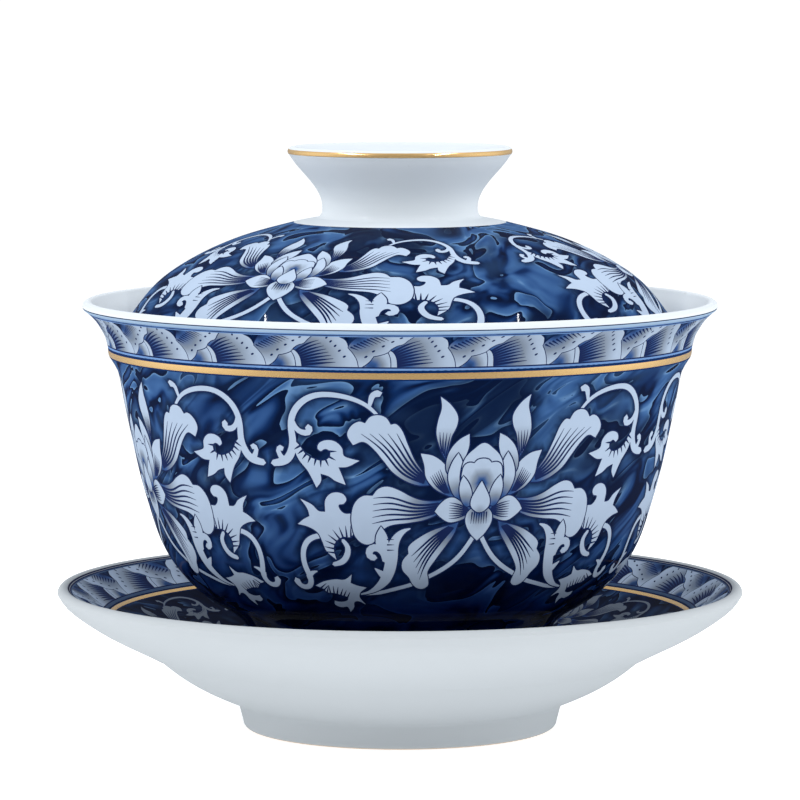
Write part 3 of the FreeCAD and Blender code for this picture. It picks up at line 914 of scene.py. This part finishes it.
def cobaltWash(name, settings):
    # brushed cobalt: soft pools that end in crisp folds, deeper beside the drawing and darker below a given
    # height; in the saucer well that darkening covers the whole well and is painted shade under the bowl
    material, make = newMaterial(name)
    place, bump = glazeSurface(make)
    height = make.parts(place)[2]
    slanted = make.add(
        "ShaderNodeVectorRotate", {"rotation_type": "Z_AXIS"},
        {"Vector": place, "Angle": height * settings["slant"]})
    squeezed = make.vector("MULTIPLY", slanted, (1.0, 1.0, settings["squeeze"]))
    drift = make.noise(squeezed, 60.0, 1.5, "Color")
    bent = make.vector("ADD", squeezed, make.vector("SCALE", drift, pooling["bend"]))
    pools = make.noise(bent, pooling["scale"], Distortion=pooling["curl"])
    fold = make.math("FRACT", pools * pooling["folds"])
    tone = make.add("ShaderNodeValToRGB", {"stops": [
        (0.0, settings["light"]), (0.14, finish["wash"]), (0.5, settings["middle"]),
        (0.7, finish["cobalt"]), (0.88, finish["navy"]), (1.0, finish["navy"])]}, {0: fold})
    broad = ((make.noise(bent, pooling["deepScale"]) - 0.50) * 8).clamp()
    colour = make.blend(broad * pooling["deepShare"], tone, finish["navy"])
    haze = ((make.noise(squeezed, pooling["hazeScale"]) - 0.50) * 6).clamp()
    colour = make.blend(haze * pooling["hazeShare"], colour, finish["wash"])
    low, high = settings["fade"]
    deep = (1 - (height - low * mm) / ((high - low) * mm)).clamp() * settings["fadeDepth"]
    colour = make.blend(deep, colour, make.vector("MULTIPLY", colour, settings["fadeTint"]))
    near = make.add("ShaderNodeAttribute", {"attribute_name": "near"}, out="Fac")
    colour = make.blend(near * pooling["haloShare"], colour, finish["navy"])
    glazed(make, colour, pools * 0.1 + 0.4, bump)
    return material


# dim scales the pale colour: a print tone on the collar, painted light on the lid and saucer flange,
# painted shade in the saucer well
def palePrint(name, dim=1):
    material, make = newMaterial(name)
    place, bump = glazeSurface(make)
    shade = make.add("ShaderNodeAttribute", {"attribute_name": "shade"}, out="Fac")
    grain = make.noise(place, 210.0, 3.0)
    mask = (shade * (grain * 0.4 + 0.8) + (grain - 0.5) * 0.08).clamp()
    light = tuple(c * dim for c in finish["pale"])
    tone = make.add("ShaderNodeValToRGB", {"stops": [
        (0.0, light), (0.3, tuple(c * 0.5 for c in light)), (0.65, finish["shadeBlue"]),
        (1.0, finish["navy"])]}, {0: mask})
    glazed(make, tone, grain * 0.1 + 0.4, bump)
    return material


def flatPrint(name, colour):
    material, make = newMaterial(name)
    place, bump = glazeSurface(make)
    grain = make.noise(place, 160.0, 3.0)
    lighter = tuple(c * 1.9 + 0.004 for c in colour)
    glazed(make, make.blend(grain, colour, lighter), grain * 0.1 + 0.3, bump)
    return material


def gilding(name):
    material, make = newMaterial(name)
    place = make.add("ShaderNodeTexCoord").out("Object")
    brush = make.noise(place, 700.0, 3.0)
    thin = ((make.noise(place, 260.0) - 0.6) * 4).clamp()
    colour = make.blend(thin * 0.5, finish["gold"], (1.0, 0.76, 0.40))
    bump = make.add("ShaderNodeBump", {}, {"Strength": 0.25, "Distance": 0.0001, "Height": brush})
    shader = make.add("ShaderNodeBsdfPrincipled", {}, {
        "Base Color": colour, "Metallic": 0.78, "Roughness": brush * 0.14 + 0.14, "Normal": bump})
    make.add("ShaderNodeOutputMaterial", {}, {0: shader})
    return material


trees = {"turning": turningTree(), "ring": ringTree()}
print("node trees built")

goldLine = gilding("gilding")
palePaint, collarPaint = palePrint("paleUnderglaze"), palePrint("collarPaleUnderglaze", 0.94)
# the lighter pale copies on the saucer flange and the lid are painted light from above; the darker one in
# the saucer well is painted shade under the bowl
flangeLitPale, wellShadedPale = palePrint("flangePaleWithPaintedLight", 1.2), palePrint("wellPaleWithPaintedShade", 0.4)
lidLitPale = palePrint("lidPaleWithPaintedLight", 1.16)
inkPaint = flatPrint("inkUnderglaze", finish["inkBlue"])
tintPaint = flatPrint("tintUnderglaze", finish["tintBlue"])
dimTint = flatPrint("saucerTintUnderglaze", tuple(c * 0.4 for c in finish["tintBlue"]))

saucerLines = [(17.5, 18.65, 46.0, 47.9, "cobalt"), (22.5, 22.85, 53.3, 53.8, "inkBlue")]
bowlLines = [(seat + 51.6, seat + 54.6, 45.4, 48.0, "cobalt"),
             (seat + 59.8, seat + 60.85, 49.3, 51.5, "rimBlue"),
             (seat + 60.65, seat + 60.85, 49.3, 51.5, "inkBlue")]
turned(
    "saucerBody", saucerOutline(), porcelain("saucerPorcelain", 0, saucerLines, "saucerWhiteShaded"),
    "saucer_body", "saucer")
turned("bowlBody", bowlOutline(), porcelain("bowlPorcelain", seat, bowlLines), "bowl_body", "bowl")
turned("lidBody", lidOutline(), porcelain("lidPorcelain", lidBase - 5), "lid_body", "lid")
turned("knobRing", knobOutline(), porcelain("knobPorcelain", knobBase - 5), "lid_body", "lid_knob")
turned(
    "saucerGilt", giltBand(*saucerShape["gilt"], 0), goldLine, "saucer_body", "saucer_gilt_ring", sharp=60)
turned("bowlGilt", giltBand(*bowlShape["gilt"], seat), goldLine, "bowl_body", "bowl_gilt_band", sharp=60)
turned("knobGilt", knobGilt(), goldLine, "lid_body", "knob_gilt_rim", sharp=60)

# How each sheet is printed and laid. A fade is two heights, from full to none.
lotusWash = {"light": (0.11, 0.22, 0.40), "middle": (0.020, 0.062, 0.18), "squeeze": 1.0, "slant": -24,
             "fade": (0, 1), "fadeDepth": 0.0, "fadeTint": (1, 1, 1)}
waveWash = {**lotusWash, "light": (0.02, 0.06, 0.18), "middle": (0.012, 0.036, 0.12), "squeeze": 1.5,
            "slant": 0}
usual = {"base": 0, "fromEnd": False, "shift": (0, 0), "skip": 1, "gridScale": 1, "tint": tintPaint}
scroll = {**usual, "draw": lotusScroll, "wash": lotusWash}
wave = {**usual, "draw": waveBorder, "wash": waveWash, "radius": 47.5, "count": 20, "gridScale": 0.8}
sheets = [
    {**scroll, "name": "bowlWall", "body": "bowl_body", "node": "bowl_wall_transfer", "base": seat,
     "curve": bowlShape["wall"], "fromEnd": True, "radius": 43.0, "count": 4, "turn": 17.1,
     "scale": (1, 1), "shift": (0, 0.78), "pale": palePaint,
     "wash": {**lotusWash, "fade": (23, 42), "fadeDepth": 1.0, "fadeTint": (0.05, 0.14, 0.36)}},
    {**wave, "name": "bowlCollar", "body": "bowl_body", "node": "bowl_collar_transfer", "base": seat,
     "curve": bowlShape["collar"], "fromEnd": True, "turn": 0, "scale": (1, 1.13), "pale": collarPaint},
    {**scroll, "name": "lidDome", "body": "lid_body", "node": "lid_transfer", "base": lidBase,
     "curve": lidShape["print"], "fromEnd": True, "radius": 36.0, "count": 3, "turn": -29.7,
     "scale": (1, 0.79), "shift": (0, 4.6), "pale": lidLitPale},
    {**wave, "name": "saucerFlange", "body": "saucer_body", "node": "saucer_border_transfer",
     "curve": saucerShape["border"], "turn": 5, "scale": (1, 1.17), "pale": flangeLitPale, "tint": dimTint},
    # the saucer well's pale print and wash are darkened throughout: painted shade under the bowl
    {**scroll, "name": "saucerWell", "body": "saucer_body", "node": "saucer_well_transfer",
     "curve": saucerShape["well"], "radius": 39.0, "count": 6, "turn": 17.1, "scale": (0.6, 0.46),
     "shift": (0, 0.4), "gridScale": 1.4, "skip": 2, "pale": wellShadedPale, "tint": dimTint,
     "wash": {**lotusWash, "fade": (40, 90), "fadeDepth": 0.6, "fadeTint": (0.2, 0.2, 0.25)}},
]


def laySheet(sheet):
    run, _, _ = surfaceOf(sheet)
    width, length = 2 * math.pi * sheet["radius"] / sheet["count"], run[-1]
    shapes = []
    for shape in sheet["draw"]():
        edge = shape["edge"][::sheet["skip"]]  # a small print needs fewer places
        placed = moved(dict(shape, edge=edge), sheet["scale"], sheet["shift"])
        placed["reach"] = shape.get("reach", 0) * min(sheet["scale"])
        shapes.append(placed)
    places, faces, owner, kinds = triangulated(sheet, shapes, width, length)
    shade = shadeAt(places, faces[kinds == pale], owner[kinds == pale], shapes)
    edges = np.unique(faces[kinds == pale])
    tree = kdtree.KDTree(len(edges))
    for i in edges:
        tree.insert((*places[i], 0), i)
    tree.balance()
    gaps = np.array([tree.find((*p, 0))[2] for p in places])
    near = np.exp(-np.maximum(0, gaps - drawing["haloStart"]) / drawing["haloFade"])
    wash = cobaltWash(sheet["name"] + "Wash", sheet["wash"])
    for kind, label, material in (
        (0, "Wash", wash), (ink, "Ink", inkPaint), (pale, "Pale", sheet["pale"]),
        (tint, "Tint", sheet["tint"])):
        if (kinds == kind).any():
            inlay(sheet["name"] + label, sheet, places, faces[kinds == kind],
                  {"shade": shade, "near": near}, material)


for sheet in sheets:
    laySheet(sheet)


studio = {"front": 0.46, "back": 0.75, "sides": 1.2, "above": 0.5, "floorGlow": 0.55,
          "backdrop": 1.1, "roomInGlaze": 0.45, "floorWide": 0.8, "floorClear": 0.16, "floorFade": 0.5,
          "aim": (0, 0, 0.05),
          "boxes": {"leftBox": ((-0.56, -0.33, 0.62), (0, 0.72, 0.42)),
                    "rightBox": ((0.53, -0.38, 0.66), (0, 0.66, 0.48))},
          "boxSize": (0.007, 0.75), "boxPower": 3.0}
view = {"lens": 217.3, "place": (0, -0.775, 0.1266), "aim": (0, 0, 0.0529)}


def stageFloor():  # a pale sheet that fades out into the background
    material, make = newMaterial("floorPaint")
    place = make.add("ShaderNodeTexCoord").out("Object")
    cloud = make.noise(place, 3.0)
    reach = make.vector("LENGTH", place, (0.0, 0.0, 0.0)).out("Value")
    inGlaze = make.add("ShaderNodeLightPath").out("Is Glossy Ray")
    clear = (1 - (reach - studio["floorClear"]) / studio["floorFade"]).clamp()
    shader = make.add("ShaderNodeBsdfPrincipled", {}, {
        "Base Color": make.blend(cloud, (0.93, 0.93, 0.93), (0.91, 0.91, 0.91)), "Roughness": 0.8,
        "Emission Color": (1, 1, 1, 1), "Emission Strength": studio["floorGlow"],
        "Alpha": clear.power(2.0) * (1 - inGlaze)})
    make.add("ShaderNodeOutputMaterial", {}, {0: shader})
    mesh = bpy.data.meshes.new("floor")
    wide = studio["floorWide"]
    mesh.from_pydata(
        [(-wide, -wide, 0), (wide, -wide, 0), (wide, wide, 0), (-wide, wide, 0)], [], [(0, 1, 2, 3)])
    mesh.materials.append(material)
    floor = bpy.data.objects.new("floor", mesh)
    scene.collection.objects.link(floor)


def softbox(name, place, along, size, power):  # a bank of light whose long side runs along a direction
    light = bpy.data.lights.new(name, "AREA")
    light.shape, light.size, light.size_y, light.energy = "RECTANGLE", *size, power
    lamp = bpy.data.objects.new(name, light)
    away = (Vector(place) - Vector(studio["aim"])).normalized()
    up = (Vector(along) - away * away.dot(Vector(along))).normalized()
    lamp.location = place
    lamp.rotation_euler = Matrix((up.cross(away), up, away)).transposed().to_euler()
    scene.collection.objects.link(lamp)


def studioLight():
    world = bpy.data.worlds.new("studio")
    world.use_nodes = True
    world.node_tree.nodes.clear()
    make = Maker(world.node_tree)
    rays = make.add("ShaderNodeLightPath")
    seen, inGlaze = rays.out("Is Camera Ray"), rays.out("Is Glossy Ray") * (1 - studio["roomInGlaze"])
    way = make.add("ShaderNodeTexCoord").out("Generated")
    side, depth, rise = make.parts(way)
    behind, beside, above = (depth + 0.6).clamp(), (side * side).power(2.0), rise.clamp().power(2.0)
    soft = behind * (studio["back"] - studio["front"]) + studio["front"]
    soft = soft + beside * studio["sides"] + above * studio["above"]
    soft = soft * (1 - inGlaze)
    shader = make.add("ShaderNodeBackground", {}, {
        0: (0.97, 0.985, 1.0, 1), 1: seen * (studio["backdrop"] - soft) + soft})
    make.add("ShaderNodeOutputWorld", {}, {0: shader})
    scene.world = world
    for name, (place, along) in studio["boxes"].items():
        softbox(name, place, along, studio["boxSize"], studio["boxPower"])


def addCamera():
    lens = bpy.data.cameras.new("camera")
    lens.sensor_width, lens.lens = 36.0, view["lens"]
    lens.clip_start, lens.clip_end = 0.01, 50
    camera = bpy.data.objects.new("camera", lens)
    camera.location = view["place"]
    camera.rotation_euler = (Vector(view["aim"]) - camera.location).to_track_quat("-Z", "Y").to_euler()
    scene.collection.objects.link(camera)
    scene.camera = camera


stageFloor()
studioLight()
addCamera()
scene.view_settings.view_transform = "Standard"
print("studio set")
